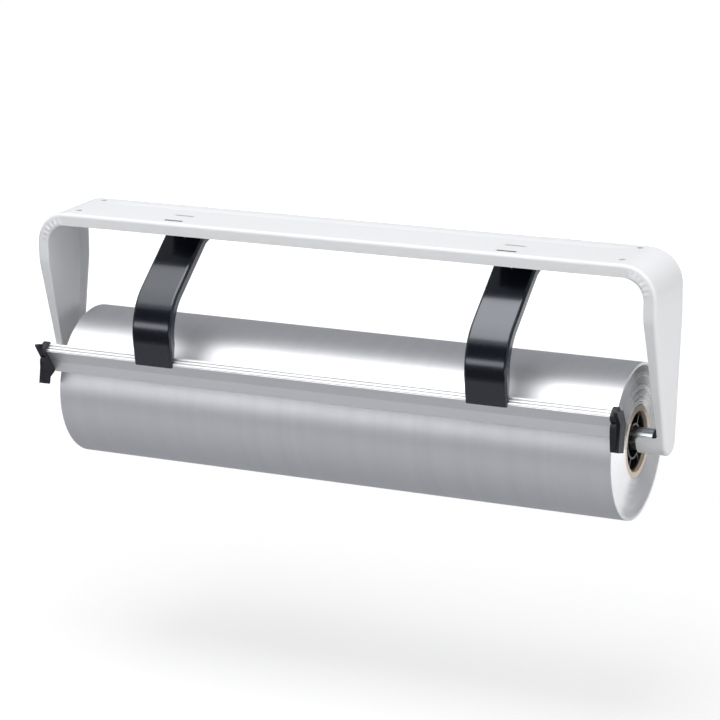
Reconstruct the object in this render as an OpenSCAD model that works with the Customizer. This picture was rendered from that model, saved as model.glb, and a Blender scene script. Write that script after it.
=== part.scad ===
// Under-counter roll dispenser: a bent sheet-steel frame screwed under a counter, a foil roll on a
// loose steel tube that lies in two cradles, and a sprung cutting rail that leans on the roll.
// X runs along the roll, -Y is the side the user stands on, +Z is up.
// The origin is the centre of the four screw holes, on the face that meets the counter.

/* [Roll] */
// Width of the foil on the roll
roll_len = 500; // [300:5:800]
// Outside diameter of the wound foil
roll_d = 128.6; // [100:0.2:140]
// Outside diameter of the cardboard core
core_d = 59; // [56:0.5:80]
// Inside diameter of the cardboard core
core_bore = 50; // [40:0.5:54]

/* [Axle tube] */
// Outside diameter of the steel tube that the roll hangs on
tube_d = 19; // [15:0.5:21]
// Wall of the tube
tube_wall = 1.2; // [0.8:0.1:3]
// Gap between each end of the tube and the arm beside it
tube_play = 9; // [7.5:0.5:20]

/* [Core plugs] */
// Length of a plug inside the core
plug_len = 26; // [15:1:50]
// Depth of the plug's outer face behind the end of the roll
plug_recess = 3; // [0:0.5:8]
// Bore of the plug's hub, in which the tube lies loosely
plug_bore = 26.4; // [24:0.1:30]
// Wall of the hub
hub_wall = 1.6; // [1:0.1:3]
// Wall of the rim that grips the core
rim_wall = 2; // [1.2:0.1:4]
// Thickness of the spokes and of the end web
spoke_t = 1.8; // [1:0.1:3]
// Number of spokes
spoke_n = 6; // [3:1:10]

/* [Frame] */
// Depth of the frame from its front face to its back face
frame_depth = 68.5; // [60:0.5:90]
// Thickness of the sheet
sheet_t = 1.5; // [1:0.1:2]
// Depth of the flanges along the top and the upper arms
flange = 10.5; // [8:0.5:12]
// Depth of the flanges just above the cradles
flange_low = 6.5; // [5:0.5:8]
// Outer radius of the bends between the web and the flanges
bend_r = 3; // [2.2:0.1:5]
// Outer radius of the two upper corners
corner_r = 28; // [20:1:36]
// Gap between the end of the roll and the cradle
end_gap = 3.5; // [2:0.5:10]
// Length of a cradle along the tube
cradle_len = 25; // [20:1:35]
// Depth of the cradle's centre below the counter
cradle_drop = 151.2; // [145:0.5:180]
// Distance of the cradle's centre behind the middle of the frame
cradle_set = 7.35; // [0:0.05:12]
// Extra radius of the cradle round the tube
cradle_slack = 2; // [1.5:0.1:3]
// Height of the front lip above the cradle's centre
front_lip = 3.9; // [1:0.1:8]
// Depth of the rear lip below the cradle's centre
rear_lip = 0.2; // [0:0.1:2]
// Rounding of the lips' corners
lip_r = 3.5; // [1:0.5:4]
// Depth below the counter at which the front edge starts to lean back
front_kink = 41; // [36:1:60]
// Depth below the counter at which the rear edge starts to lean forward
rear_kink = 52; // [45:1:80]
// Radius of the bends in the edges of the arms
kink_r = 25; // [15:1:40]

/* [Screw holes] */
// Diameter of the screw holes
screw_d = 5.2; // [4:0.1:7]
// Distance of the holes from the outside of the arms
screw_inset = 33.5; // [30:0.5:60]
// Distance between the front and the rear row of holes
screw_rows = 42; // [30:0.5:50]
// Distance of the holes' centre behind the middle of the frame
screw_set = 2.5; // [0:0.1:5]

/* [Stiffening bead] */
// Width of the raised bead in the top
bead_w = 15; // [10:0.5:18]
// Height of the bead
bead_h = 0.8; // [0.4:0.1:1.4]
// Distance of the bead from the rear face
bead_edge = 4.5; // [4:0.5:8]
// Distance of the bead's ends from the outside of the arms
bead_inset = 43; // [42:1:80]

/* [Pressure arms] */
// Distance between the centres of the two arms
arm_spacing = 300; // [180:5:400]
// Width of an arm
arm_w = 36.5; // [30:0.5:45]
// Thickness of the arm's sheet
arm_t = 1.2; // [1:0.1:2]
// Depth of the arm's side walls
arm_wall = 8; // [6:0.5:9]
// Depth of the side walls at the lower end
arm_wall_low = 4.5; // [3:0.1:5]
// Outer radius of the bends along the arm's edges
arm_bend_r = 2.5; // [2.1:0.1:4]
// Slope of the arm's upper run, from level
arm_slope = 38; // [36:0.1:44]
// Lean of the arm's lower run, from upright
arm_lean = 7.5; // [4:0.1:10]
// Radius of the arm's shoulder
arm_curve = 48; // [30:1:60]
// Length of the arm below the nose of the rail
arm_foot = 2; // [1:0.1:4]

/* [Arm pivots] */
// Diameter of the pivot pins
pin_d = 5; // [4:0.1:6]
// Depth of the pivots below the counter
pivot_drop = 15.1; // [14:0.1:18]
// Distance of the pivots behind the middle of the frame
pivot_set = 5.85; // [2:0.05:8]
// Depth of the pivots below the arm's outer face
pivot_depth = 6.7; // [6:0.1:9]
// Outer radius of the pivot ears
ear_r = 5.5; // [4.5:0.1:6.5]
// Distance from the pivot to the upper end of the arm's face
face_start = 10.5; // [9:0.5:14]
// Thickness of the bracket's sheet
bracket_t = 1.5; // [1:0.1:2]
// Width of the tabs that hold the bracket in the frame
tab_w = 16; // [10:0.5:20]
// Distance of the front tab ahead of the pivot
tab_front = 29.5; // [24:0.5:32]
// Distance of the rear tab ahead of the pivot
tab_rear = 10.75; // [8:0.25:16]
// Gap between a tab and each end of its slot
tab_play = 0.5; // [0.2:0.1:1]
// Diameter of the pin's head
head_d = 8; // [6.5:0.5:9]
// Thickness of the pin's head
head_t = 1.5; // [1:0.1:2]
// Outside diameter of the ring that holds the pin
ring_d = 10; // [9:0.5:11]
// Thickness of the ring
ring_t = 0.8; // [0.6:0.1:1.2]

/* [Arm springs] */
// Diameter of the spring wire
wire_d = 1.6; // [1:0.1:2]
// Pitch of the spring's turns
wire_pitch = 2.1; // [2.05:0.05:2.4]
// Turns of the spring, counted to the next whole one
wire_turns = 6; // [3:1:6]
// Gap between the spring and the bracket's ear
wire_play = 1.3; // [0.5:0.1:3]

/* [Cutting rail] */
// Length of the rail beyond each end of the roll
rail_over = 6.5; // [5:0.5:15]
// Length of the rail's face, from its nose to its tearing edge
rail_face = 25.8; // [20:0.2:30]
// Lean of the rail's upper band, from upright
rail_lean = 35.5; // [30:0.5:40]
// Angle between the upper and the lower band
rail_crease = 3; // [2:0.5:10]
// Wall of the rail
rail_wall = 1.6; // [1.2:0.1:2]
// Thickness of the rail at its tearing edge
rail_tip = 0.7; // [0.4:0.1:1.2]
// Width of the ribbed top
rail_pad = 8.7; // [7:0.1:10]
// Depth of the lip behind the ribbed top
rail_lip = 6; // [4:0.5:8]
// Radius of the ribs
rib_r = 1.3; // [0.8:0.1:1.6]
// Number of ribs
rib_n = 3; // [2:1:4]
// Height of the tearing edge on the roll, as an angle above the roll's centre
tear_angle = 19.6; // [14:0.1:24]
// Gap between the tearing edge and the roll
tear_gap = 0.3; // [0.2:0.1:1]

/* [Rail end caps] */
// Length of a cap along the rail
cap_len = 7; // [6:0.5:12]
// Depth of the pocket that takes the end of the rail
cap_pocket = 2; // [1.5:0.5:4]
// Thickness of the cap's outer plate
cap_plate = 3.5; // [2:0.5:5]
// Radius of the collar round each end of the ribbed top
cap_bead_r = 4.2; // [4:0.1:6]
// Radius of the bulge in front of the rail's face
cap_grip_r = 5.4; // [4:0.1:7]
// Length of the bulge between its round ends
cap_grip = 6.5; // [3:0.5:10]
// Height of the cap from the end of its leg to its ear
cap_h = 35; // [32:0.5:40]
// Depth of the outer plate from its waist to its widest place behind
cap_w = 14; // [10:0.5:18]
// Depth of the leg at its foot
cap_leg_w = 12; // [8:0.5:14]
// Depth of the leg's inner half
cap_leg_in = 5.5; // [4:0.5:8]

/* [Rail clips] */
// Width of the clip inside each arm
clip_w = 24; // [16:1:28]
// Thickness of the clip
clip_t = 1.2; // [0.8:0.1:1.5]
// Share of the arm's straight foot that the clip's leg covers
clip_leg_share = 0.8; // [0.5:0.05:0.9]

/* [Hidden] */
$fn = 72;
// Overrun of every cut
over = 1;
// Clearance of a running pin, and of a pin held in its bracket
run_fit = 0.05;
// Clearance between pieces that move past each other
side_gap = 0.3;
// Set-in of a bend's or web's surface behind the straight it joins, and a bend's overlap as an angle
seam = 0.02;
seam_lap = 1;
// Sides of the sheet's small edge bends and of its large bends
edge_sides = 24;
bend_sides = 96;

// Frame, seen from the front
half_w = roll_len / 2 + end_gap + cradle_len;
front_y = -frame_depth / 2 - screw_set;
rear_y = frame_depth / 2 - screw_set;
middle_y = -screw_set;
cradle_r = tube_d / 2 + cradle_slack;
cradle_or = cradle_r + sheet_t;
cradle = [middle_y + cradle_set, -cradle_drop];
front_lip_z = -cradle_drop + front_lip;
rear_lip_z = -cradle_drop - rear_lip;
// Depth of web that each bent edge strip brings with it, and set-in of the flat web from its edge
edge_web = 2 * bend_r;
web_inset_share = 1.5;
web_inset = bend_r * web_inset_share;
web_steps = 8;

// Straight edges of the arms touch the kink's circle and the cradle's circle
front_kink_c = [front_y + kink_r, -front_kink];
rear_kink_c = [rear_y - kink_r, -rear_kink];
front_span = cradle - front_kink_c;
rear_span = cradle - rear_kink_c;
front_edge_a = atan2(front_span[1], front_span[0]) + 360
    - acos((kink_r - cradle_or) / norm(front_span));
rear_edge_a = atan2(rear_span[1], rear_span[0]) + 360
    + acos((kink_r - cradle_or) / norm(rear_span));

// Tube and roll: the tube lies in the cradle, and the plugs' hubs hang on it, pushed back by the rail
tube_r = tube_d / 2;
tube_c = cradle - [0, cradle_slack - run_fit];
hang_a = 30;
hang = plug_bore / 2 - tube_r - run_fit;
roll_c = tube_c + hang * [sin(hang_a), -cos(hang_a)];
tube_len = 2 * (half_w - sheet_t - tube_play);

// Rail: the back of its tearing edge stands just off the roll, and its nose is in front of that
rail_len = roll_len + 2 * rail_over;
band_share = 0.5;
band_up = rail_face * band_share;
band_low = rail_face - band_up;
tip_in = turned([1, 0], -rail_crease);
tear_front = [-band_low * sin(rail_crease), -band_up - band_low * cos(rail_crease)];
tear_back = tear_front + rail_tip * tip_in;
tear = roll_c + (roll_d / 2 + tear_gap) * [-cos(tear_angle), sin(tear_angle)];
nose = tear - turned(tear_back, rail_lean);
tear_out = nose + turned(tear_front, rail_lean);
rib_rise_share = 0.6;
rib_rise = rib_r * rib_rise_share;

// Arm: two straight runs joined by a shoulder
arm_x = arm_spacing / 2;
pivot = [middle_y + pivot_set, -pivot_drop];
up_back = [cos(arm_slope), sin(arm_slope)];
upper_out = [-sin(arm_slope), cos(arm_slope)];
lower_up = [-sin(arm_lean), cos(arm_lean)];
lower_in = [cos(arm_lean), sin(arm_lean)];
upper_foot = pivot + pivot_depth * upper_out;
nose_front = nose - (arm_t + run_fit) * lower_in;
shoulder_far = cross2(nose_front - upper_foot, lower_up) / cross2(-up_back, lower_up);
shoulder = upper_foot - up_back * shoulder_far;
shoulder_turn = 90 - arm_slope + arm_lean;
shoulder_run = arm_curve * tan(shoulder_turn / 2);
shoulder_top = shoulder + up_back * shoulder_run;
shoulder_low = shoulder - lower_up * shoulder_run;
shoulder_c = shoulder_top - arm_curve * upper_out;
arm_end = nose_front - arm_foot * lower_up;
face_top = upper_foot - face_start * up_back;
clip_leg = clip_leg_share * norm(shoulder_low - nose_front);

// Bracket between the arm's side walls
bracket_w = arm_w - 2 * arm_t - 2 * side_gap;
bracket_z = -sheet_t - bracket_t;
front_tab_y = pivot[0] - tab_front;
rear_tab_y = pivot[0] - tab_rear;
slot_w = tab_w + 2 * tab_play;
front_slot_share = 2;
pin_len = arm_w + 2 * side_gap;
// Shares of the pin's diameter: the ring's mouth, its two notches and their distance from the centre
ring_mouth_share = 0.7;
ring_notch_share = 0.4;
ring_notch_far_share = 0.62;

// Spring on the pivot pin: both legs leave the coil at a tangent
wire_r = wire_d / 2;
coil_r = pin_d / 2 + side_gap + wire_r;
coil_start_a = 180 + arm_slope;
coil_sweep = 360 * wire_turns - coil_start_a;
coil_end_x = bracket_w / 2 - bracket_t - wire_play - wire_r;
coil_start_x = coil_end_x - wire_pitch * coil_sweep / 360;
leg_drop_share = 1.5;
leg_drop = wire_d * leg_drop_share;
ring_sides = 6;
turn_rings = 8;
leg_lift = pivot_depth + wire_r + run_fit;
leg_rest = pivot_drop + bracket_z - wire_r - run_fit;

function turned(p, a) = [p[0] * cos(a) - p[1] * sin(a), p[0] * sin(a) + p[1] * cos(a)];
function cross2(a, b) = a[0] * b[1] - a[1] * b[0];

// Extrudes a side view along X, centred
module across(w) { rotate([90, 0, 90]) linear_extrude(w, center = true) children(); }

// Carries a cross-section along a straight stretch of a side view, its y axis facing outwards
module stretch(a, b) {
    d = b - a;
    translate([0, a[0], a[1]]) rotate([atan2(-d[0], d[1]), 0, 0])
        linear_extrude(norm(d)) children();
}

// Carries a cross-section round a centre of a side view, from one direction through a turn
module bent(c, r, from, turn, lap = 0) {
    translate([0, c[0], c[1]]) rotate([from - lap + 90, 0, 0]) rotate([0, 90, 0])
        rotate_extrude(angle = turn + 2 * lap, $fn = bend_sides)
            translate([r, 0]) mirror([1, 0]) rotate(90) children();
}

// Turns a side view into a front view
module facing() { rotate([0, 0, -90]) children(); }

// Cuts through a stretch of the depth with a front view
module cut_front(from, to) {
    translate([0, to, 0]) rotate([90, 0, 0]) linear_extrude(to - from) children();
}

// Rectangle with its two upper corners rounded
module round_top(w, h, r) {
    translate([-w / 2, -h]) square([w, h - r]);
    translate([r - w / 2, -h]) square([w - 2 * r, h]);
    for (side = [-1, 1]) translate([side * (w / 2 - r), -r]) circle(r, $fn = edge_sides);
}

// Cross-section of a sheet bent into a shallow channel, outer face at y = 0
module channel(w, h, t, r) {
    difference() {
        round_top(w, h, r);
        translate([0, -t]) round_top(w - 2 * t, h, r - t);
    }
}

// Cross-section of one bent edge, the corner at the origin and the flange towards -x
module edge(len, web) {
    difference() {
        edge_fill(len, web, bend_r);
        translate([-sheet_t, -sheet_t]) edge_fill(len, web, bend_r - sheet_t);
    }
}
// The same edge for a bend, set in a little so that it joins the straight ones without a sliver
module set_in_edge(len, web) { translate([-seam, -seam]) edge(len - 2 * seam, web); }
module edge_fill(len, web, r) {
    translate([-len, -web]) square([len, web - r]);
    translate([-len, -web]) square([len - r, web]);
    translate([-r, -r]) circle(r, $fn = edge_sides);
}

module frame() color([0.86, 0.87, 0.88]) {
    difference() {
        union() {
            facing() {
                stretch([half_w - corner_r, 0], [corner_r - half_w, 0]) frame_section();
                frame_corner();
                mirror([0, 1, 0]) frame_corner();
            }
            frame_arm();
            mirror([1, 0, 0]) frame_arm();
            bead(0);
        }
        bead(sheet_t);
        screw_holes();
        for (side = [-1, 1]) translate([side * arm_x, 0, 0]) tab_slots();
    }
}
module frame_section() { translate([screw_set, 0]) channel(frame_depth, flange, sheet_t, bend_r); }
module frame_corner() {
    bent([half_w - corner_r, -corner_r], corner_r, 0, 90) frame_section();
    stretch([half_w, -front_kink], [half_w, -corner_r]) frame_section();
}

// Arm from the front kink down: a bent edge all round a flat web, with the cradle at its foot
module frame_arm() {
    front_n = [cos(front_edge_a), sin(front_edge_a)];
    rear_n = [cos(rear_edge_a), sin(rear_edge_a)];
    difference() {
        translate([half_w, 0, 0]) {
            bent(front_kink_c, kink_r, 180, front_edge_a - 180, seam_lap)
                set_in_edge(cradle_len, edge_web);
            stretch(front_kink_c + kink_r * front_n, cradle + cradle_or * front_n)
                edge(cradle_len, edge_web);
            bent(cradle, cradle_or, front_edge_a, rear_edge_a - front_edge_a, seam_lap)
                set_in_edge(cradle_len, edge_web);
            stretch(cradle + cradle_or * rear_n, rear_kink_c + kink_r * rear_n)
                edge(cradle_len, edge_web);
            bent(rear_kink_c, kink_r, rear_edge_a, 360 - rear_edge_a, seam_lap)
                set_in_edge(cradle_len, edge_web);
            stretch([rear_y, -rear_kink], [rear_y, -front_kink]) edge(cradle_len, edge_web);
            translate([-sheet_t / 2, 0, 0]) across(sheet_t - 2 * seam) arm_web(front_n, rear_n);
        }
        cut_front(front_y - over, cradle[0]) flange_trim(front_lip_z);
        cut_front(cradle[0], rear_y + over) flange_trim(rear_lip_z);
    }
}
// Flat of the arm, its edge hidden in the bent edge strips
module arm_web(front_n, rear_n) {
    turn = rear_edge_a - front_edge_a;
    kink_in = kink_r - web_inset;
    polygon(concat(
        [[front_y + web_inset, -front_kink], front_kink_c + kink_in * front_n],
        [for (i = [0:web_steps]) let (a = front_edge_a + turn * i / web_steps)
            cradle + (cradle_or - web_inset) * [cos(a), sin(a)]],
        [rear_kink_c + kink_in * rear_n, [rear_y - web_inset, -rear_kink],
            [rear_y - web_inset, -front_kink]]
    ));
}

// What is cut from the flanges of an arm: they narrow downwards and widen again at the cradle
module flange_trim(lip_z) {
    inner_x = half_w - cradle_len;
    foot_x = half_w - flange_low;
    difference() {
        polygon([
            [inner_x - over, over - front_kink],
            [half_w - flange, over - front_kink],
            [half_w - flange, -front_kink],
            [foot_x, lip_z],
            [inner_x - over, lip_z]
        ]);
        difference() {
            translate([foot_x - lip_r, lip_z]) square(lip_r + over);
            translate([foot_x - lip_r, lip_z + lip_r]) circle(lip_r);
            translate([foot_x - lip_r - over, lip_z + lip_r]) square(lip_r + 3 * over);
        }
    }
    difference() {
        translate([inner_x - over, lip_z - lip_r]) square([lip_r + over, lip_r]);
        translate([inner_x + lip_r, lip_z - lip_r]) circle(lip_r);
    }
}

// Long bead with domed ends, standing on a depth below the top
module bead(depth) {
    reach = half_w - bead_inset - bead_w / 2;
    translate([0, rear_y - bead_edge - bead_w / 2, -depth]) {
        rotate([90, 0, 90]) linear_extrude(2 * reach, center = true) bead_section();
        for (side = [-1, 1]) translate([side * reach, 0, 0]) rotate_extrude()
            intersection() {
                bead_section();
                translate([0, -bead_w]) square(2 * bead_w);
            }
    }
}
module bead_section() {
    r = (pow(bead_w / 2, 2) + pow(bead_h, 2)) / (2 * bead_h);
    intersection() {
        translate([0, bead_h - r]) circle(r);
        translate([-bead_w / 2, -seam]) square([bead_w, bead_h + over]);
    }
}
module screw_holes() {
    for (x = [-1, 1], y = [-1, 1])
        translate([x * (half_w - screw_inset), y * screw_rows / 2, -sheet_t - over])
            cylinder(d = screw_d, h = sheet_t + 2 * over);
}
// Slots for a bracket's tabs: the front one is wider than its tab
module tab_slots() {
    for (place = [[front_tab_y, front_slot_share * bracket_t], [rear_tab_y, bracket_t + 2 * run_fit]])
        translate([-slot_w / 2, place[0] + bracket_t / 2 + run_fit - place[1], -sheet_t - over])
            cube([slot_w, place[1], sheet_t + 2 * over]);
}

// Bracket under the top, its tabs in the frame's slots and its ears round the pin
module bracket() color([0.80, 0.81, 0.82]) {
    base_front = front_tab_y - bracket_t / 2;
    base_rear = pivot[0] + ear_r;
    ear_x = bracket_w / 2 - bracket_t / 2;
    translate([-bracket_w / 2, base_front, bracket_z])
        cube([bracket_w, base_rear - base_front, bracket_t]);
    for (y = [front_tab_y, rear_tab_y])
        translate([-tab_w / 2, y - bracket_t / 2, bracket_z])
            cube([tab_w, bracket_t, sheet_t + bracket_t - run_fit]);
    for (side = [-1, 1]) translate([side * ear_x, 0, 0]) across(bracket_t) difference() {
        union() {
            translate(pivot) circle(ear_r);
            polygon([
                [rear_tab_y - bracket_t, bracket_z + bracket_t],
                [base_rear, bracket_z + bracket_t],
                [base_rear, bracket_z],
                pivot + [ear_r, 0],
                pivot - [ear_r, 0]
            ]);
        }
        translate(pivot) circle(pin_d / 2 + run_fit);
    }
}

module pivot_pin() color([0.72, 0.74, 0.76]) translate([0, pivot[0], pivot[1]]) rotate([0, 90, 0]) {
    translate([0, 0, -pin_len / 2]) cylinder(d = pin_d, h = pin_len + ring_t + head_t);
    translate([0, 0, -pin_len / 2 - head_t]) cylinder(d = head_d, h = head_t);
}

// Retaining ring pushed onto the end of a pin, open on one side
module pin_clip() color([0.45, 0.46, 0.48]) {
    mouth = pin_d * ring_mouth_share;
    translate([pin_len / 2, pivot[0], pivot[1]]) rotate([0, 90, 0]) linear_extrude(ring_t)
        difference() {
            circle(d = ring_d);
            circle(d = pin_d + 2 * run_fit);
            translate([0, -mouth / 2]) square([ring_d / 2 + over, mouth]);
            for (a = [120, 240]) rotate(a) translate([pin_d * ring_notch_far_share, 0])
                circle(d = pin_d * ring_notch_share);
        }
}

// Wire of a torsion spring, from the tip on the arm, round the pin, to the tip under the bracket
function on_arm(p) = pivot + turned(p, arm_slope);
function spaced(x, p) = [x, p[0], p[1]];
coil_rings = ceil(coil_sweep / 360 * turn_rings);
arm_leg = [
    [-face_start - 2 * wire_d, leg_lift],
    [-face_start, leg_lift],
    [-coil_r - wire_d, leg_lift],
    [-coil_r - wire_r / 2, leg_lift - wire_r],
    [-coil_r, leg_lift - leg_drop]
];
frame_leg = [
    [coil_r, leg_rest - leg_drop],
    [coil_r - wire_r / 2, leg_rest - wire_r],
    [coil_r - wire_d, leg_rest],
    [-tab_rear - wire_d, leg_rest]
];
wire_path = concat(
    [for (p = arm_leg) spaced(coil_start_x, on_arm(p))],
    [for (i = [0:coil_rings]) let (s = i / coil_rings, a = coil_start_a + s * coil_sweep)
        [coil_start_x + s * (coil_end_x - coil_start_x),
            pivot[0] + coil_r * cos(a), pivot[1] + coil_r * sin(a)]],
    [for (p = frame_leg) spaced(coil_end_x, pivot + p)]
);
// Least gap of the wire to itself, from each point of its path to each stretch half a turn or more off
function off_stretch(p, a, b) =
    let (d = b - a, share = max(0, min(1, (p - a) * d / (d * d)))) norm(p - a - share * d);
wire_far = turn_rings / 2;
wire_last = len(wire_path) - 1;
wire_gap = min([for (i = [0:wire_last], j = [0:wire_last - 1]) if (abs(i - j) > wire_far)
    off_stretch(wire_path[i], wire_path[j], wire_path[j + 1])]) - wire_d;
echo(least_gap_of_the_spring_wire_to_itself = wire_gap);

// A direction that no stretch of the wire runs along
off_wire = [1, 0.02, 0.01];
function unit(v) = v / norm(v);
function path_dir(path, i) =
    unit(path[min(i + 1, len(path) - 1)] - path[max(i - 1, 0)]);
function ring_at(path, i, side) =
    let (d = path_dir(path, i), u = unit(cross(d, off_wire)), v = cross(d, u))
    [for (k = [0:side - 1]) path[i] + wire_r * (u * cos(360 * k / side) + v * sin(360 * k / side))];

module wire(path) {
    n = len(path);
    s = ring_sides;
    polyhedron(
        [for (i = [0:n - 1]) each ring_at(path, i, s)],
        concat(
            [for (i = [0:n - 2], k = [0:s - 1]) let (a = i * s + k, b = i * s + (k + 1) % s)
                each [[a, b, b + s], [a, b + s, a + s]]],
            [for (k = [1:s - 2]) [0, k + 1, k]],
            [for (k = [1:s - 2]) let (e = (n - 1) * s) [e, e + k, e + k + 1]]
        )
    );
}
module arm_spring() color([0.62, 0.63, 0.65]) wire(wire_path);

// Pressure arm: a channel with a shoulder, ears at its upper end and low walls at its foot
module pressure_arm() color([0.06, 0.06, 0.07]) {
    difference() {
        union() {
            stretch(face_top, shoulder_top) arm_section(0);
            bent(shoulder_c, arm_curve, 90 + arm_slope, shoulder_turn, seam_lap)
                arm_section(seam);
            stretch(shoulder_low, arm_end) arm_section(0);
        }
        across(arm_w + over) {
            low_wall_cut();
            rail_cut();
        }
    }
    for (side = [-1, 1])
        translate([side * (arm_w - arm_t) / 2, 0, 0]) across(arm_t - 2 * seam) arm_ear();
}
module arm_section(inset) {
    translate([0, -inset]) channel(arm_w - 2 * inset, arm_wall, arm_t, arm_bend_r);
}
// The walls get lower from the shoulder down to the rail
module low_wall_cut() {
    translate(arm_end) rotate(arm_lean)
        polygon([
            [arm_wall_low, -over],
            [arm_wall_low, arm_foot + rail_lip],
            [arm_wall + run_fit, norm(shoulder_low - arm_end)],
            [arm_wall + over, -over]
        ]);
}
// At the foot they end just above the ribs, and only the face goes on down in front of the rail
module rail_cut() {
    rise_a = rail_lean - arm_lean;
    low = arm_foot + (rib_rise + side_gap) / cos(rise_a);
    deep = arm_wall + over;
    translate(arm_end) rotate(arm_lean)
        polygon([
            [arm_t + seam, -over],
            [arm_t + seam, low],
            [deep, low + (deep - arm_t) * tan(rise_a)],
            [deep, -over]
        ]);
}
module arm_ear() {
    translate(pivot) rotate(arm_slope) difference() {
        union() {
            circle(ear_r);
            polygon([
                [0, ear_r],
                [-face_start - arm_wall / 2, pivot_depth - arm_bend_r - arm_t],
                [-face_start - arm_wall / 2, pivot_depth - arm_wall + arm_t],
                [0, -ear_r]
            ]);
        }
        circle(pin_d / 2 + run_fit);
    }
}

// Extruded rail: ribbed top, two-band face that thins to the tearing edge, and a lip behind
module cutting_rail() color([0.75, 0.76, 0.78]) across(rail_len) at_nose() rail_section(0);
module at_nose() { translate(nose) rotate(rail_lean) children(); }
module rail_section(grow) {
    crease = [0, -band_up];
    inner_crease = crease + rail_wall * [1, -tan(rail_crease / 2)];
    polygon([
        [-grow, grow],
        crease - [grow, 0],
        tear_front - grow * tip_in - [0, grow],
        tear_back + grow * tip_in - [0, grow],
        inner_crease + [grow, 0],
        [rail_wall + grow, -rail_wall],
        [rail_wall + grow, grow]
    ]);
    translate([-grow, -rail_wall - grow]) square([rail_pad + 2 * grow, rail_wall + 2 * grow]);
    translate([rail_pad - rail_wall - grow, -rail_lip - grow])
        square([rail_wall + 2 * grow, rail_lip]);
    for (i = [0:rib_n - 1])
        translate([(i + 0.5) * rail_pad / rib_n, rib_rise - rib_r]) circle(rib_r + grow);
}

// End cap: an outer plate, a leg, and a collar round the end of the rail
module rail_cap() color([0.11, 0.11, 0.12]) {
    inner_x = rail_len / 2 - cap_pocket;
    collar = cap_len - cap_plate;
    difference() {
        union() {
            translate([inner_x + cap_len - cap_plate / 2, 0, 0]) across(cap_plate) cap_outline();
            translate([inner_x + (collar + over) / 2, 0, 0]) across(collar + over) {
                at_nose() cap_top_collar();
                cap_face_collar();
            }
        }
        translate([inner_x, 0, 0]) across(2 * cap_pocket) at_nose() rail_section(run_fit);
    }
}
// Side views of the cap, measured from the front corner of its foot, heights as shares of the cap's
waist_share = 0.61;
ear_share = 0.97;
back_share = 0.91;
widest_share = 0.55;
heel_share = 0.1;
grip_share = 0.54;
sole_share = 0.05;
instep_share = 0.09;
// Shares of the collar's radius and of the plate's depth
cap_rise_share = 1.7;
tip_share = 0.8;
shoulder_share = 0.75;
cap_foot = nose + [-cap_grip_r / 2, cap_bead_r * cap_rise_share - cap_h];
cap_tip = cap_bead_r * tip_share;
function on_cap(y, z) = cap_foot + [y, cap_h * z];
module cap_outline() {
    polygon([
        cap_foot,
        on_cap(cap_bead_r, waist_share),
        on_cap(-cap_bead_r, ear_share),
        on_cap(-cap_tip, 1),
        on_cap(cap_w * shoulder_share, back_share),
        on_cap(cap_w + cap_tip, widest_share),
        on_cap(cap_leg_w, -heel_share)
    ]);
}
module cap_top_collar() {
    last = rail_pad - cap_tip;
    for (x = [0, last]) translate([x, 0]) circle(cap_bead_r);
    translate([0, -cap_bead_r]) square([last, 2 * cap_bead_r]);
}
module cap_face_collar() {
    high = on_cap(cap_grip_r * shoulder_share, grip_share);
    low = high - [0, cap_grip];
    for (place = [high, low]) translate(place) circle(cap_grip_r);
    polygon([
        low - [cap_grip_r, 0],
        high - [cap_grip_r, 0],
        nose - [0, cap_bead_r / 2],
        nose + [rail_pad, -rail_wall],
        tear_out + [-rail_wall, rail_wall],
        tear_out - [rail_wall * 2, 0],
        on_cap(cap_leg_in, instep_share),
        on_cap(cap_leg_in, -sole_share),
        cap_foot
    ]);
}

// Clip inside the arm: a leg on the arm's face, a shelf over the ribs and a hook behind the lip
module rail_clip() color([0.10, 0.10, 0.11]) across(clip_w) {
    shelf_z = rib_rise + run_fit;
    hook_x = rail_pad + run_fit;
    face_x = arm_t + run_fit;
    difference() {
        union() {
            translate(nose_front) rotate(arm_lean) translate([face_x, rail_wall])
                square([clip_t, clip_leg]);
            at_nose() {
                translate([-rail_wall, shelf_z]) square([hook_x + rail_wall + clip_t, clip_t]);
                translate([hook_x, -rail_lip - clip_t]) square([clip_t, rail_lip + clip_t * 2 + shelf_z]);
                translate([hook_x - rail_wall, -rail_lip - clip_t - run_fit])
                    square([rail_wall + clip_t, clip_t]);
            }
        }
        translate(nose_front) rotate(arm_lean) translate([face_x - arm_wall, -arm_wall])
            square([arm_wall, arm_wall + clip_leg + over]);
    }
}

module axle_tube() color([0.66, 0.69, 0.72]) along_x(tube_c, tube_len) difference() {
    circle(tube_r);
    circle(tube_r - tube_wall);
}
// Extrudes a round section along X about a centre of the side view
module along_x(c, length) {
    translate([0, c[0], c[1]]) rotate([0, 90, 0]) linear_extrude(length, center = true) children();
}

// Plug in the end of the core: rim, spokes, hub and a thin web at the inner end
module core_plug() color([0.08, 0.08, 0.09]) {
    hub_r = plug_bore / 2 + hub_wall;
    rim_r = core_bore / 2 - rim_wall;
    translate([roll_len / 2 - plug_recess - plug_len / 2, 0, 0]) {
        along_x(roll_c, plug_len) {
            difference() {
                circle(d = core_bore);
                circle(rim_r);
            }
            difference() {
                circle(hub_r);
                circle(d = plug_bore);
            }
            for (i = [0:spoke_n - 1]) rotate((i + 0.5) * 360 / spoke_n)
                translate([hub_r - hub_wall / 2, -spoke_t / 2])
                    square([rim_r - hub_r + (hub_wall + rim_wall) / 2, spoke_t]);
        }
        translate([(spoke_t - plug_len) / 2, 0, 0]) along_x(roll_c, spoke_t) difference() {
            circle(rim_r + rim_wall / 2);
            circle(d = plug_bore);
        }
    }
}
module cardboard_core() color([0.74, 0.62, 0.50]) along_x(roll_c, roll_len) difference() {
    circle(d = core_d);
    circle(d = core_bore);
}
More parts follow.
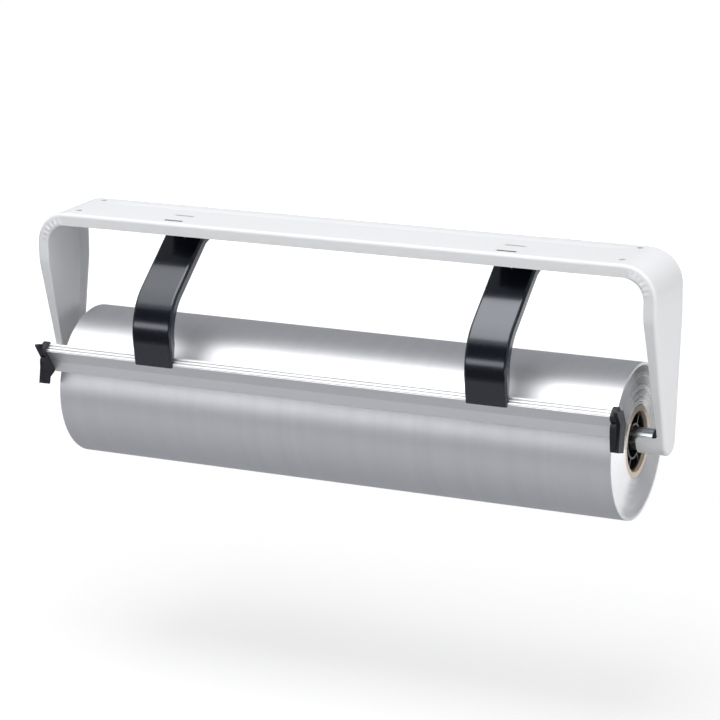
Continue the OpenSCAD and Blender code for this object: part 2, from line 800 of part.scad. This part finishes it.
module foil_roll() color([0.80, 0.81, 0.83]) along_x(roll_c, roll_len) difference() {
    circle(d = roll_d);
    circle(d = core_d);
}

module left() { mirror([1, 0, 0]) children(); }
module at_arm() { translate([arm_x, 0, 0]) children(); }

frame();
left() at_arm() bracket();  // bracket_left
at_arm() bracket();  // bracket_right
left() at_arm() pivot_pin();  // pivot_pin_left
at_arm() pivot_pin();  // pivot_pin_right
left() at_arm() pin_clip();  // pin_clip_left
at_arm() pin_clip();  // pin_clip_right
left() at_arm() mirror([1, 0, 0]) arm_spring();  // arm_spring_left
at_arm() mirror([1, 0, 0]) arm_spring();  // arm_spring_right
left() at_arm() pressure_arm();  // pressure_arm_left
at_arm() pressure_arm();  // pressure_arm_right
left() at_arm() rail_clip();  // rail_clip_left
at_arm() rail_clip();  // rail_clip_right
cutting_rail();
left() rail_cap();  // rail_cap_left
rail_cap();  // rail_cap_right
axle_tube();
left() core_plug();  // core_plug_left
core_plug();  // core_plug_right
cardboard_core();
foil_roll();
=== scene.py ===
import math

import bpy
from mathutils import Matrix, Vector


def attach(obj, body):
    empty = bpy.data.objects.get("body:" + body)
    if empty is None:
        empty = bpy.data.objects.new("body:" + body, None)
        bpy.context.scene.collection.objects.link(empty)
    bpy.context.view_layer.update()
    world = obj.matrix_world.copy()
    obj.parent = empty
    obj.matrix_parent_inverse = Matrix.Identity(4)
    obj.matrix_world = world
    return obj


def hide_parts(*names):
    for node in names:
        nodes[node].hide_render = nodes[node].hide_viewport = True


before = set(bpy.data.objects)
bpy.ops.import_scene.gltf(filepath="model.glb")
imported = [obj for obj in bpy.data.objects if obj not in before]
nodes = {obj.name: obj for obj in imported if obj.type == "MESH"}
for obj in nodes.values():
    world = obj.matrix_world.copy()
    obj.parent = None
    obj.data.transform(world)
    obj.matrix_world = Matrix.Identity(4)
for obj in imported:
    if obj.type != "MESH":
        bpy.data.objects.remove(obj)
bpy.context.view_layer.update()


# Frame
# One strip of 1.5 mm sheet steel, folded to a shallow channel and bent to a wide bridge with two
# tapering arms. It is sprayed pale grey, and the paint has a fine orange peel. Round the punched
# slots and screw holes the grey is darker and rougher, partly thin paint and partly painted shade.

class Coat:
    """A socket of a finish's nodes. Sums and products add Math nodes, and node() adds any other."""

    def __init__(self, tree, socket=None):
        self.tree = tree
        self.socket = socket

    def node(self, kind, settings=None, sockets=None, out=0):
        made = self.tree.nodes.new("ShaderNode" + kind)
        for name, value in (settings or {}).items():
            setattr(made, name, value)
        for name, value in (sockets or {}).items():
            if isinstance(value, Coat):
                self.tree.links.new(value.socket, made.inputs[name])
            else:
                made.inputs[name].default_value = value
        return Coat(self.tree, made.outputs[out])

    def maths(self, operation, other=0.0):
        return self.node("Math", {"operation": operation}, {0: self, 1: other})

    def __add__(self, other):
        return self.maths("ADD", other)

    __radd__ = __add__

    def __mul__(self, other):
        return self.maths("MULTIPLY", other)

    __rmul__ = __mul__

    def __sub__(self, other):
        return self.maths("SUBTRACT", other)

    def __rsub__(self, other):
        return self.node("Math", {"operation": "SUBTRACT"}, {0: other, 1: self})

    def __pow__(self, other):
        return self.maths("POWER", other)

    def __abs__(self):
        return self.maths("ABSOLUTE")

    def rise(self, low, high):
        """0 below low, 1 above high, and a smooth step between them."""
        return self.node(
            "MapRange",
            {"interpolation_type": "SMOOTHSTEP"},
            {"Value": self, "From Min": low, "From Max": high},
        )

    def axes(self):
        split = self.node("SeparateXYZ", sockets={"Vector": self})
        return [Coat(self.tree, output) for output in split.socket.node.outputs]

    def stretched(self, scale):
        return self.node("VectorMath", {"operation": "MULTIPLY"}, {0: self, 1: scale})

    def noise(self, scale, detail=2.0, roughness=0.5):
        return self.node("TexNoise", sockets={
            "Vector": self, "Scale": scale, "Detail": detail, "Roughness": roughness,
        })

    def blend(self, first, second):
        """The first colour where this is 0, and the second where it is 1."""
        low, high = [c if isinstance(c, Coat) else (*c, 1) for c in (first, second)]
        return self.node("Mix", {"data_type": "RGBA"}, {0: self, 6: low, 7: high}, out=2)

    def relief(self, depth):
        """This height, in units of depth metres, as a bumped normal."""
        return self.node("Bump", sockets={"Height": self, "Distance": depth})


def finish(name, colour, roughness, metallic=0.0, coat=0.0, coat_roughness=0.03):
    """A new finish: the material, its shader and its coordinates, which are the CAD's own."""
    material = bpy.data.materials.new(name)
    material.use_nodes = True
    shader = material.node_tree.nodes["Principled BSDF"]
    shader.inputs["Base Color"].default_value = (*colour, 1)
    shader.inputs["Roughness"].default_value = roughness
    shader.inputs["Metallic"].default_value = metallic
    shader.inputs["Coat Weight"].default_value = coat
    shader.inputs["Coat Roughness"].default_value = coat_roughness
    return material, shader, Coat(material.node_tree).node("TexCoord", out=3)


def feed(shader, **varying):
    """Links what varies over a surface to the shader, such as base_color, roughness or normal."""
    for name, value in varying.items():
        value.tree.links.new(value.socket, shader.inputs[name.replace("_", " ").title()])


def distance(run, rise):
    """How far a place lies from a line, from its distances along the two axes across the line."""
    return (run ** 2.0 + rise ** 2.0) ** 0.5


def paint(piece, material):
    piece.data.materials.clear()
    piece.data.materials.append(material)


screw_x, screw_y, screw_r = 0.245, 0.021, 0.0026
slot_x, slot_half, slot_front_y, slot_rear_y = 0.150, 0.0085, -0.02685, -0.0074
frame_grey, thin_paint_and_shade_grey, cloud_grey = (0.76, 0.77, 0.785), (0.60, 0.61, 0.625), (0.70, 0.72, 0.74)

frame_paint, shader, at = finish("frame_paint", frame_grey, 0.42, coat=0.1, coat_roughness=0.25)
x, y, z = at.axes()
clouds = at.noise(14.0, 3.0)
peel = at.noise(620.0, 1.0) + at.noise(150.0, 1.0) * 1.5
hole_far = distance(abs(x) - screw_x, abs(y) - screw_y)
near_hole = 1.0 - hole_far.rise(screw_r + 0.0001, screw_r + 0.0011)
past_slot = (abs(abs(x) - slot_x) - slot_half).maths("MAXIMUM", 0.0)
front_far, rear_far = [distance(y - slot_y, past_slot) for slot_y in (slot_front_y, slot_rear_y)]
near_slot = 1.0 - front_far.maths("MINIMUM", rear_far).rise(0.0016, 0.0021)
on_top = z.rise(-0.004, -0.0016)
# painted shade: a darker, rougher ring round the slots and screw holes on top, partly thin paint
# and partly the shade at their edges
thin_paint_and_shade = near_hole.maths("MAXIMUM", near_slot) * on_top * (0.5 + 0.5 * clouds)
feed(
    shader,
    base_color=(clouds * 0.10).blend(thin_paint_and_shade.blend(frame_grey, thin_paint_and_shade_grey), cloud_grey),
    roughness=0.38 + clouds * 0.10 + thin_paint_and_shade * 0.2,
    normal=peel.relief(0.00002),
)
paint(nodes["frame"], frame_paint)

# Corner folds
# Where the strip was bent round its four corners the flange had too much metal on the inside, and
# the press left soft folds across it. They are part of the sheet and lie under the same paint.


def pick(piece, test, kind="FACE"):
    """Selects, in edit mode, a piece's faces or points that pass a test on place and normal."""
    bpy.ops.object.mode_set(mode="OBJECT")
    mesh = piece.data
    for group in (mesh.vertices, mesh.edges, mesh.polygons):
        group.foreach_set("select", [False] * len(group))
    if kind == "FACE":
        for face in mesh.polygons:
            face.select = test(face.center, face.normal)
    else:
        for point in mesh.vertices:
            point.select = test(point.co, point.normal)
    bpy.ops.object.mode_set(mode="EDIT")
    bpy.ops.mesh.select_mode(type=kind)


def close_up():
    """Merges the doubles of the piece in edit mode, turns its faces outwards and leaves it."""
    bpy.ops.mesh.select_all(action="SELECT")
    bpy.ops.mesh.remove_doubles(threshold=0.000001)
    bpy.ops.mesh.normals_make_consistent(inside=False)
    bpy.ops.object.mode_set(mode="OBJECT")


bend_x, bend_z, front_y, rear_y = 0.2536, -0.0249, -0.03675, 0.03175
inner_r, flat_r, proud, deep = 0.0144, 0.0205, 0.0001, 0.00145
grab = 0.0006
# each fold's angle round the bend and its height
ridges = ((8, 0.0004), (22, 0.0008), (37, 0.0010), (52, 0.0008), (67, 0.0010), (81, 0.0006))
# a fold's crest: distance from the bend's centre, share of the height, reach of the slope
crests = ((0.0150, 0.8, 0.0021), (0.0169, 0.6, 0.0021), (0.0188, 0.3, 0.0019))

bpy.ops.object.select_all(action="DESELECT")
middle = (bend_x + (inner_r + flat_r) / 2, front_y + (deep - proud) / 2, bend_z)
bpy.ops.mesh.primitive_plane_add(size=1, location=middle)
fold = bpy.context.object
fold.name = "corner_fold_1"
bpy.ops.object.mode_set(mode="EDIT")
bpy.ops.transform.resize(value=(flat_r - inner_r, deep + proud, 1))
bpy.ops.mesh.subdivide(number_cuts=7)
bpy.ops.object.mode_set(mode="OBJECT")
bpy.ops.object.transform_apply(location=True, rotation=True, scale=True)
bpy.ops.object.mode_set(mode="EDIT")
bpy.ops.mesh.select_all(action="SELECT")
bpy.ops.mesh.spin(steps=72, angle=math.pi / 2, center=(bend_x, 0, bend_z), axis=(0, 1, 0))
close_up()
for angle, height in ridges:
    outward = Vector((math.cos(math.radians(angle)), 0, math.sin(math.radians(angle))))
    for radius, share, reach in crests:
        crest = Vector((bend_x, front_y - proud, bend_z)) + outward * radius
        pick(fold, lambda place, normal: (place - crest).length < grab, "VERT")
        bpy.ops.transform.translate(
            value=(0, -height * share, 0), use_proportional_edit=True,
            proportional_edit_falloff="SMOOTH", proportional_size=reach,
        )
bpy.ops.object.mode_set(mode="OBJECT")
bpy.ops.object.shade_smooth_by_angle(angle=math.radians(40))
paint(fold, frame_paint)
folds = [fold]
for number, mirror in ((2, (-1, 1, 1)), (3, (1, -1, 1)), (4, (-1, -1, 1))):
    bpy.ops.object.select_all(action="DESELECT")
    fold.select_set(True)
    bpy.context.view_layer.objects.active = fold
    bpy.ops.object.duplicate()
    folds.append(bpy.context.object)
    folds[-1].name = "corner_fold_%d" % number
    bpy.ops.object.mode_set(mode="EDIT")
    bpy.ops.mesh.select_all(action="SELECT")
    bpy.ops.transform.resize(value=mirror, center_override=(0, (front_y + rear_y) / 2, 0))
    close_up()
for fold in folds:
    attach(fold, "frame")

# Brackets
# A small pressed steel bracket hangs under the bridge for each arm. Its tabs are pushed up through
# the slots and its two ears hold the pivot pin. It is dipped in the arms' black, with a satin skin.

bracket_paint, shader, at = finish("bracket_paint", (0.012, 0.012, 0.014), 0.38)
clouds = at.noise(60.0, 3.0)
feed(
    shader,
    base_color=clouds.blend((0.010, 0.010, 0.012), (0.024, 0.024, 0.027)),
    roughness=0.30 + clouds * 0.16,
    normal=at.noise(500.0, 1.0).relief(0.00002),
)
for side in ("left", "right"):
    paint(nodes["bracket_" + side], bracket_paint)

# Slot blocks
# The gap round each tab is filled from above with a thin block. The front ones are black, painted
# shade for the dark seen down into the open slots. The rear ones are sealant, put in before the
# frame was sprayed, so that no crumbs fall through.

block_size, block_z, block_edge = (0.01696, 0.00296, 0.0009), -0.0008, 0.0002
number = 0
# painted shade: the front blocks are black so that the front slots read dark, as the shade under
# them does
for block_y, skin, slot in (
    (slot_front_y, bracket_paint, "bracket_steel"), (slot_rear_y, frame_paint, "frame_paint"),
):
    for block_x in (-slot_x, slot_x):
        number += 1
        bpy.ops.object.select_all(action="DESELECT")
        bpy.ops.mesh.primitive_cube_add(size=1, location=(block_x, block_y, block_z))
        block = bpy.context.object
        block.name = "slot_block_%d" % number
        bpy.ops.object.mode_set(mode="EDIT")
        bpy.ops.transform.resize(value=block_size)
        bpy.ops.mesh.bevel(offset=block_edge, segments=2, affect="EDGES")
        bpy.ops.object.mode_set(mode="OBJECT")
        bpy.ops.object.transform_apply(location=True, rotation=True, scale=True)
        bpy.ops.object.shade_smooth_by_angle(angle=math.radians(40))
        paint(block, skin)
        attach(block, "frame")

# Pivot pins, their clips and the arm springs
# A turned steel pin with a flat head goes through each bracket and arm, and a snap ring keeps it
# there. A torsion spring of hard drawn wire lies round it. The pin is zinc plated and shows the
# fine rings of turning, while ring and spring have a darker, blotchy skin.

pin_steel, shader, at = finish("pin_steel", (0.62, 0.63, 0.65), 0.3, metallic=1.0)
rings = at.stretched((3500.0, 60.0, 60.0)).noise(1.0, 1.0)
blotch = at.noise(220.0, 3.0)
feed(
    shader,
    base_color=(blotch * 0.5).blend((0.66, 0.67, 0.68), (0.47, 0.49, 0.52)),
    roughness=0.22 + rings * 0.14 + blotch * 0.1,
    normal=rings.relief(0.00001),
)
hard_steel, shader, at = finish("clip_steel_hard", (0.35, 0.36, 0.38), 0.35, metallic=1.0)
blotch = at.noise(400.0, 3.0)
feed(
    shader,
    base_color=blotch.blend((0.42, 0.43, 0.45), (0.24, 0.25, 0.28)),
    roughness=0.26 + blotch * 0.2,
    normal=blotch.relief(0.00001),
)
for side in ("left", "right"):
    paint(nodes["pivot_pin_" + side], pin_steel)
    paint(nodes["pin_clip_" + side], hard_steel)
    paint(nodes["arm_spring_" + side], hard_steel)

# Pressure arms
# Each arm is one strip of 1.2 mm steel folded to a channel, rolled over at the shoulder and sprayed
# gloss black. It leans on the roll by the cutting rail at its foot.

arm_black, dust_grey = (0.0024, 0.0038, 0.0075), (0.09, 0.09, 0.10)
arm_paint, shader, at = finish("arm_paint", arm_black, 0.2, coat=0.6, coat_roughness=0.16)
shader.inputs["Specular Tint"].default_value = (0.86, 0.90, 1.0, 1)
shader.inputs["Coat Tint"].default_value = (0.92, 0.95, 1.0, 1)
clouds = at.noise(30.0, 3.0)
dust = at.noise(900.0, 2.0).rise(0.68, 0.76)
feed(
    shader,
    base_color=(dust * 0.35).blend(arm_black, dust_grey),
    roughness=0.16 + clouds * 0.07 + dust * 0.15,
    normal=at.noise(130.0, 1.0).relief(0.00001),
)
for side in ("left", "right"):
    paint(nodes["pressure_arm_" + side], arm_paint)

# Rail clips
# A bent spring-steel clip on each arm's foot is pushed over the rail's back and holds it there.
# It is bare, with the lines of rolling along it.

clip_steel, shader, at = finish("clip_steel", (0.55, 0.56, 0.58), 0.32, metallic=1.0)
grain = at.stretched((60.0, 900.0, 900.0)).noise(1.0, 2.0)
feed(
    shader,
    base_color=(grain * 0.5).blend((0.60, 0.61, 0.63), (0.42, 0.43, 0.46)),
    roughness=0.24 + grain * 0.16,
    normal=grain.relief(0.00001),
)
for side in ("left", "right"):
    paint(nodes["rail_clip_" + side], clip_steel)

# Cutting rail
# The rail is a length of extruded aluminium, satin anodised. Ribs stand at its nose, with painted
# shade in the grooves between them, and drawing lines run along it. The band over the edge that the
# foil is torn on, below the crease, is painted brighter as a painted highlight.

nose_y, nose_z, lean = -0.06919, -0.11364, math.radians(35.5)
crease, rib_middle, rib_half = 0.0128, 0.00435, 0.00145

rail_aluminium, shader, at = finish("rail_aluminium", (0.86, 0.86, 0.88), 0.42, metallic=1.0)
y, z = at.axes()[1:]
down = (nose_z - z) * math.cos(lean) + (y - nose_y) * math.sin(lean)
into = (y - nose_y) * math.cos(lean) + (z - nose_z) * math.sin(lean)
off_groove = abs(abs(into - rib_middle) - rib_half)
# painted shade: the grooves between the ribs are painted dark
groove_shade = (1.0 - off_groove.rise(0.00035, 0.0006)) * (0.0003 - down).rise(0.0, 0.0002)
draw = at.stretched((1.5, 1600.0, 1600.0)).noise(1.0, 2.0)
bands = at.stretched((0.8, 180.0, 180.0)).noise(1.0, 1.0)
cloud = at.noise(25.0, 2.0)
# painted highlight: the band below the crease is painted brighter for the light it catches
lit_band_tone = down.rise(crease, crease + 0.0003).blend((0.85, 0.85, 0.86), (0.99, 0.985, 0.985))
lit_band_tone = (bands * 0.15 + draw * 0.10).blend(lit_band_tone, (0.80, 0.80, 0.81))
feed(
    shader,
    base_color=(groove_shade * 0.55).blend(lit_band_tone, (0.16, 0.16, 0.17)),
    roughness=0.40 + draw * 0.10 + cloud * 0.06,
    normal=draw.relief(0.000012),
)
paint(nodes["cutting_rail"], rail_aluminium)

# Rail end caps
# Moulded caps of black nylon plug the rail's ends and give the fingers something to hold. Their
# faces have a fine spark-eroded grain.

cap_nylon, shader, at = finish("cap_nylon", (0.010, 0.011, 0.014), 0.42)
shader.inputs["Specular IOR Level"].default_value = 0.32
flow = at.noise(80.0, 2.0)
feed(
    shader,
    base_color=flow.blend((0.008, 0.009, 0.013), (0.018, 0.019, 0.025)),
    roughness=0.38 + flow * 0.14,
    normal=at.noise(1500.0, 2.0).relief(0.00003),
)
for side in ("left", "right"):
    paint(nodes["rail_cap_" + side], cap_nylon)

# Axle tube
# The roll hangs on a drawn steel tube, zinc plated, that lies loose in the cradles. Fine drawing
# lines and a slight blue tint run along it. Its ends and its bore are painted black, painted shade
# for the dark gap at each end and the dark inside the bore.

tube_y, tube_z, bore_r, shaded_end_from = 0.00485, -0.15315, 0.0083, 0.2652
tube_shade_black = (0.012, 0.012, 0.012)

tube_zinc, shader, at = finish("tube_zinc", (0.62, 0.66, 0.69), 0.24, metallic=1.0)
x, y, z = at.axes()
draw = at.stretched((6.0, 1400.0, 1400.0)).noise(1.0, 2.0)
tint = at.noise(26.0, 3.0)
# painted shade: the bore and the last part of each end are painted black, not metal
inside = 1.0 - distance(y - tube_y, z - tube_z).rise(bore_r + 0.0001, bore_r + 0.0004)
painted_shade = inside.maths("MAXIMUM", abs(x).rise(shaded_end_from, shaded_end_from + 0.0004))
zinc = tint.blend((0.62, 0.67, 0.70), (0.44, 0.50, 0.54))
feed(
    shader,
    base_color=painted_shade.blend(zinc, tube_shade_black),
    metallic=1.0 - painted_shade,
    roughness=0.16 + draw * 0.12 + tint * 0.1 + painted_shade * 0.4,
    normal=draw.relief(0.00001),
)
paint(nodes["axle_tube"], tube_zinc)

# Core plugs
# A moulded plug in each end of the cardboard core carries the roll on the tube. It is black
# polystyrene, a little shinier than the caps.

plug_black, shader, at = finish("plug_black", (0.014, 0.015, 0.018), 0.26)
shader.inputs["Specular IOR Level"].default_value = 0.3
flow = at.noise(90.0, 2.0)
feed(
    shader,
    base_color=flow.blend((0.011, 0.012, 0.015), (0.020, 0.021, 0.025)),
    roughness=0.20 + flow * 0.14,
    normal=at.noise(700.0, 1.0).relief(0.00002),
)
for side in ("left", "right"):
    paint(nodes["core_plug_" + side], plug_black)

# Cardboard core
# The core is wound from strips of grey-brown board. Its cut ends show the plies as fine rings, and
# the wall is a little furry.

roll_y, roll_z = 0.006675, -0.156311

core_board, shader, at = finish("core_board", (0.64, 0.54, 0.44), 0.85)
y, z = at.axes()[1:]
radius = distance(y - roll_y, z - roll_z)
plies = at.node("TexWave", {"wave_type": "BANDS", "bands_direction": "X"}, {
    "Vector": at.node("CombineXYZ", sockets={"X": radius}), "Scale": 450.0,
    "Distortion": 0.6, "Detail": 2.0,
}, out=1)
fibre = at.noise(900.0, 4.0, 0.7)
board = fibre.blend((0.75, 0.64, 0.53), (0.56, 0.46, 0.37))
feed(
    shader,
    base_color=(plies * 0.30).blend(board, (0.40, 0.32, 0.25)),
    roughness=0.78 + fibre * 0.15,
    normal=(fibre + plies * 0.5).relief(0.00006),
)
paint(nodes["cardboard_core"], core_board)

# Foil roll
# Hundreds of metres of thin aluminium foil are wound tight on the core. The winding is smooth with
# soft bands round it, and the ends show the foil's edges as fine rings, each lapped a little over
# the one outside it.

roll_r, roll_half, core_r = 0.0643, 0.250, 0.0295
rim, sunk_rim, sunk = 0.0008, 0.0004, 0.0002
# how far each band of winds stands out of the one round it, in units of wind_unit
winds, wind_unit = (3, -4, 5, 2, -5, 3, -2, 4, -3, 2, 4, -4, 2, 1, -3, 2), 0.000035
wind_width = (roll_r - rim - sunk_rim - core_r) / len(winds)

bpy.ops.object.select_all(action="DESELECT")
bpy.ops.mesh.primitive_cylinder_add(
    vertices=256, radius=roll_r, depth=2 * roll_half,
    location=(0, roll_y, roll_z), rotation=(0, math.pi / 2, 0), end_fill_type="NGON",
)
foil = bpy.context.object
foil.name = "foil_winding"
bpy.ops.object.transform_apply(location=True, rotation=True, scale=True)
for side in (-1, 1):
    pick(foil, lambda centre, normal: normal.x * side > 0.9)
    bpy.ops.mesh.inset(thickness=rim, depth=0.0)
    bpy.ops.mesh.inset(thickness=sunk_rim, depth=-sunk)
    for step in winds:
        bpy.ops.mesh.inset(thickness=wind_width, depth=step * wind_unit)
    bpy.ops.mesh.delete(type="FACE")

# the bore's wall joins the two open ends
bpy.ops.mesh.select_mode(type="EDGE")
bpy.ops.mesh.select_all(action="DESELECT")
bpy.ops.mesh.select_non_manifold(
    extend=False, use_wire=False, use_multi_face=False, use_non_contiguous=False, use_verts=False,
)
bpy.ops.mesh.bridge_edge_loops()
bpy.ops.mesh.select_all(action="SELECT")
bpy.ops.mesh.normals_make_consistent(inside=False)
bpy.ops.object.mode_set(mode="OBJECT")
bpy.ops.object.shade_smooth_by_angle(angle=math.radians(35))

foil_bright, shader, at = finish("foil_bright", (0.74, 0.74, 0.76), 0.4, metallic=1.0)
bands = at.stretched((60.0, 1.2, 1.2)).noise(1.0, 3.0, 0.6)
lines = at.stretched((2600.0, 8.0, 8.0)).noise(1.0, 1.0)
feed(
    shader,
    base_color=bands.blend((0.79, 0.795, 0.815), (0.68, 0.685, 0.71)),
    roughness=0.40 + bands * 0.07 + lines * 0.02,
    normal=lines.relief(0.000004),
)
foil_edges, shader, at = finish("foil_edges", (0.78, 0.78, 0.80), 0.17, metallic=1.0)
x, y, z = at.axes()
radius = distance(y - roll_y, z - roll_z)
edges = at.node("CombineXYZ", sockets={"X": radius * 2500.0, "Y": x * 4.0}).noise(1.0, 2.0)
rings = at.node("CombineXYZ", sockets={"X": radius * 700.0}).noise(1.0, 2.0)
lapped = 1.0 - (radius * 1500.0).maths("FRACT")
feed(
    shader,
    base_color=(edges * 0.4 + rings * 0.6).blend((0.97, 0.97, 0.98), (0.76, 0.765, 0.785)),
    roughness=0.17 + rings * 0.10,
    normal=(lapped + edges * 0.8).relief(0.00018),
)
paint(foil, foil_bright)
foil.data.materials.append(foil_edges)
for face in foil.data.polygons:
    face_r = math.hypot(face.center.y - roll_y, face.center.z - roll_z)
    if abs(face.center.x) > roll_half - 0.002 and face_r < roll_r - 0.0007:
        face.material_index = 1
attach(foil, "roll")
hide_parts("foil_roll")

# Stand, light and camera
# The dispenser hangs over a white floor in a white studio, as it does under a counter. Two soft
# boxes are overhead, a strip of light stands in front, two fills light the right and the rear, and
# plain cards show only in the metal and gloss.


def seen(coat):
    """1 for what the camera sees, also in metal or glass, and 0 for what lights a surface."""
    rays = coat.node("LightPath").socket.node.outputs
    camera_ray, glossy_ray, transmission_ray = [
        Coat(coat.tree, rays["Is %s Ray" % kind]) for kind in ("Camera", "Glossy", "Transmission")
    ]
    return camera_ray + glossy_ray + transmission_ray


floor_z, floor_grey = -0.40, (0.50, 0.50, 0.50)
black, white = (0, 0, 0), (1, 1, 1)
bpy.ops.object.select_all(action="DESELECT")
bpy.ops.mesh.primitive_plane_add(size=40, location=(0, 0, floor_z))
floor = bpy.context.object
floor.name = "floor"
floor_white, shader, at = finish("floor_white", floor_grey, 0.9)
shader.inputs["Specular IOR Level"].default_value = 0.0
shader.inputs["Emission Strength"].default_value = 1.0
x, y = at.axes()[:2]
lift = 0.5 + 0.35 * distance(x, y).rise(0.5, 1.6)
feed(shader, emission_color=(seen(at) * lift).blend(black, white))
paint(floor, floor_white)


def card(name, place, size, turn, near, far):
    """A card that only reflections show, its light going from near to far along its own y axis."""
    bpy.ops.mesh.primitive_plane_add(size=1, location=place, rotation=turn)
    made = bpy.context.object
    made.name = name
    made.scale = (*size, 1)
    made.visible_camera = made.visible_diffuse = made.visible_shadow = False
    material = bpy.data.materials.new(name)
    material.use_nodes = True
    tree = material.node_tree
    along = Coat(tree).node("TexCoord", out=3).axes()[1] + 0.5
    low, high = [(0.98 * light, light, 1.05 * light) for light in (near, far)]
    glow = along.node("Emission", sockets={"Color": along.blend(low, high)})
    tree.links.new(glow.socket, tree.nodes["Material Output"].inputs["Surface"])
    tree.nodes.remove(tree.nodes["Principled BSDF"])
    paint(made, material)


flat, upright, sideways = (0, 0, 0), (math.pi / 2, 0, 0), (math.pi / 2, 0, math.pi / 2)
askew = (math.pi / 2, 0, math.radians(-20))
ground = floor_z + 0.01
card("card_under", (-1.3, 0.8, ground), (3.4, 1.6), flat, 0.38, 0.40)
card("card_near", (-1.3, -0.3, ground), (3.4, 0.6), flat, 0.70, 0.38)
card("card_far", (-1.8, -2.3, ground), (5.4, 3.4), flat, 0.10, 0.10)
card("card_front", (0, -4.0, 1.5), (9.0, 3.8), upright, 0.08, 0.08)
card("card_strip", (-0.9, -3.25, 0.22), (3.6, 0.5), upright, 1.4, 1.4)
card("card_back", (0, 1.6, 1.5), (6.0, 3.8), upright, 0.36, 0.36)
card("card_right_back", (0.84, 1.4, 0.2), (0.75, 1.2), askew, 0.03, 0.03)
card("card_side_right", (3.4, -0.4, 1.2), (5.0, 3.2), sideways, 0.42, 0.55)
card("card_side_left", (-3.4, -0.4, 1.2), (5.0, 3.2), sideways, 0.42, 0.55)

world = bpy.data.worlds.new("studio")
bpy.context.scene.world = world
world.use_nodes = True
sky = seen(Coat(world.node_tree)).blend((0.32, 0.32, 0.325), white)
world.node_tree.links.new(sky.socket, world.node_tree.nodes["Background"].inputs["Color"])


def soft_box(name, place, aim, size, watts, in_gloss=True):
    bpy.ops.object.light_add(type="AREA", location=place)
    lamp = bpy.context.object
    lamp.name = name
    lamp.data.shape = "RECTANGLE"
    lamp.data.size, lamp.data.size_y = size
    lamp.data.energy = watts
    lamp.rotation_euler = (Vector(aim) - Vector(place)).to_track_quat("-Z", "Y").to_euler()
    lamp.visible_camera = False
    lamp.visible_glossy = in_gloss


roll_place = (0, 0, -0.11)
soft_box("overhead_left", (-1.37, -0.62, 1.65), (-1.37, -0.6201, -0.1), (1.1, 1.75), 9)
soft_box("overhead_right", (-0.12, -0.62, 1.65), (-0.12, -0.6201, -0.1), (1.4, 1.75), 30)
soft_box("front_strip", (-0.9, -3.2, 0.22), roll_place, (3.6, 0.5), 14)
soft_box("right_fill", (2.4, -0.5, 0.5), roll_place, (1.4, 1.2), 30, in_gloss=False)
soft_box("rear_fill", (-1.0, 3.2, 0.1), roll_place, (3.0, 0.9), 40, in_gloss=False)

camera_data = bpy.data.cameras.new("camera")
camera = bpy.data.objects.new("camera", camera_data)
bpy.context.scene.collection.objects.link(camera)
bpy.context.scene.camera = camera
camera_data.sensor_width = 36
camera_data.lens = 133.5
camera_data.clip_end = 60
camera.location = (0.9174, -1.9397, 0.4961)
yaw, pitch, tilt = math.radians(25.12), math.radians(15.845), math.radians(-0.92)
ahead = Vector((
    -math.sin(yaw) * math.cos(pitch), math.cos(yaw) * math.cos(pitch), -math.sin(pitch),
))
across = Vector((math.cos(yaw), math.sin(yaw), 0))
upward = across.cross(ahead)
right = across * math.cos(tilt) + upward * math.sin(tilt)
top = upward * math.cos(tilt) - across * math.sin(tilt)
camera.rotation_mode = "QUATERNION"
camera.rotation_quaternion = Matrix((right, top, -ahead)).transposed().to_quaternion()

bpy.context.scene.view_settings.view_transform = "Standard"
